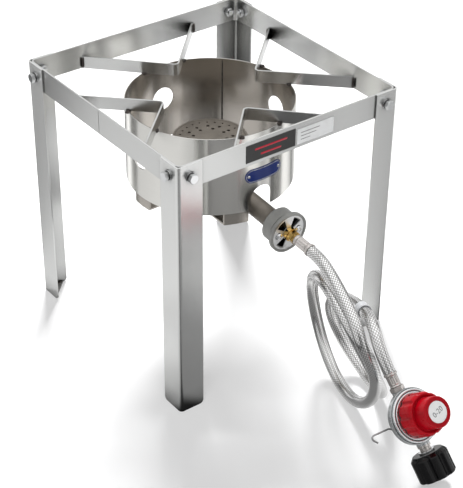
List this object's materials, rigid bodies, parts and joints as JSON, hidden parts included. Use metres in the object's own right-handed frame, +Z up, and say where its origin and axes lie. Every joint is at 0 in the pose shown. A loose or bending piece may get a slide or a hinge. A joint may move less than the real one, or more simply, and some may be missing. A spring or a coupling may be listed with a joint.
{
  "type": "propane burner stove",
  "caption": "Square outdoor gas burner stand with angle legs, V-shaped pot supports, a round shroud over a cast burner, and a braided hose to an adjustable regulator.",
  "frame": {"origin": "on the floor under the middle of the square frame", "axes": "+X along the front from the left leg to the right leg, +Y from the front to the rear, +Z up; the burner tube and the hose leave towards -Y"},
  "size_m": [0.3186, 0.5908, 0.326],
  "materials": {
    "zinc_plate": "satin zinc plated sheet",
    "support_steel": "satin strip with dark weld beads",
    "shroud_steel": "rolled sheet, satin",
    "bright_zinc": "bright zinc plated",
    "burner_iron": "grey brown casting",
    "cup_casting": "light grey sand cast",
    "brass": "turned brass",
    "ferrule_steel": "bright plated",
    "braid": "fine stainless braid",
    "clear_sleeve": "clear shrink sleeve",
    "regulator_zinc": "die cast, satin",
    "seal_rubber": "black rubber",
    "spring_steel": "spring steel",
    "red_knob": "moulded red plastic",
    "dial_white": "white disc with plain numbers",
    "black_handwheel": "moulded black plastic",
    "plate_blue": "blue enamel, bare",
    "plate_dark": "dark enamel, bare",
    "plate_pale": "pale enamel, bare"
  },
  "bodies": {
    "root": {"leg_front_left": "zinc_plate", "leg_front_right": "zinc_plate", "leg_rear_right": "zinc_plate", "leg_rear_left": "zinc_plate", "foot_plates": "zinc_plate", "top_band": "zinc_plate", "pot_support_front": "support_steel", "pot_support_right": "support_steel", "pot_support_rear": "support_steel", "pot_support_left": "support_steel", "shroud": "shroud_steel", "burner_strap_long": "shroud_steel", "burner_strap_cross": "shroud_steel", "frame_bolts": "bright_zinc", "bolt_split_washers": "bright_zinc", "bolt_flat_washers": "bright_zinc", "frame_nuts": "bright_zinc", "burner_bolt": "bright_zinc", "shutter_screws": "bright_zinc", "nameplate_rivets": "bright_zinc", "retaining_ring": "bright_zinc", "wire_hook": "bright_zinc", "lever_pin": "bright_zinc", "burner_body": "burner_iron", "burner_cap": "burner_iron", "mixer_cup": "cup_casting", "orifice_fitting": "brass", "burner_ferrule": "ferrule_steel", "regulator_ferrule": "ferrule_steel", "outlet_fitting": "ferrule_steel", "inlet_nipple": "ferrule_steel", "hose_lead": "braid", "hose_coil": "braid", "hose_tail": "braid", "hose_tie": "clear_sleeve", "regulator_body": "regulator_zinc", "regulator_cover": "regulator_zinc", "diaphragm": "seal_rubber", "inlet_seal": "seal_rubber", "control_spring": "spring_steel", "nameplate": "plate_blue", "rail_plate_dark": "plate_dark", "rail_plate_pale": "plate_pale"},
    "air_shutter": {"air_shutter": "bright_zinc"},
    "swivel_nut": {"swivel_nut": "brass"},
    "knob": {"knob": "red_knob", "dial_disc": "dial_white", "adjusting_screw": "brass"},
    "spring_plate": {"spring_plate": "spring_steel"},
    "diaphragm_plate": {"diaphragm_plate": "bright_zinc"},
    "valve_lever": {"valve_lever": "brass", "valve_pad": "seal_rubber"},
    "handwheel": {"connector_handwheel": "black_handwheel"}
  },
  "joints": [
    {"name": "shutter_turn", "type": "hinge", "parent": "root", "child": "air_shutter", "pos_m": [0, -0.15014, 0.18801], "axis": [0, -0.9976, -0.0698], "range_deg": [-12, 12]},
    {"name": "swivel_nut_turn", "type": "hinge", "parent": "root", "child": "swivel_nut", "pos_m": [0, -0.16191, 0.18719], "axis": [0, -0.9976, -0.0698], "continuous": true},
    {"name": "knob_turn", "type": "hinge", "parent": "root", "child": "knob", "pos_m": [-0.00183, -0.38825, 0.08414], "axis": [0.0186, -0.7624, 0.6468], "range_deg": [-1080, 0]},
    {"name": "spring_plate_slide", "type": "slide", "parent": "root", "child": "spring_plate", "axis": [0.0186, -0.7624, 0.6468], "range_m": [-0.0045, 0], "deforming": ["control_spring"]},
    {"name": "diaphragm_stroke", "type": "slide", "parent": "root", "child": "diaphragm_plate", "axis": [-0.0186, 0.7624, -0.6468], "range_m": [0, 0.0008], "stiffness_N_per_m": 400, "deforming": ["diaphragm"]},
    {"name": "valve_lever_tilt", "type": "hinge", "parent": "root", "child": "valve_lever", "pos_m": [-0.00201, -0.37036, 0.06164], "axis": [-0.998, -0.0537, -0.0346], "range_deg": [0, 8.1]},
    {"name": "handwheel_turn", "type": "hinge", "parent": "root", "child": "handwheel", "pos_m": [0.00121, -0.4067, 0.02519], "axis": [0.0611, -0.6448, -0.7619], "continuous": true}
  ],
  "couplings": [
    {"joint": "spring_plate_slide", "follows": "knob_turn", "m_per_rad": 0.00023873},
    {"joint": "valve_lever_tilt", "follows": "diaphragm_stroke", "rad_per_m": 174.53}
  ]
}
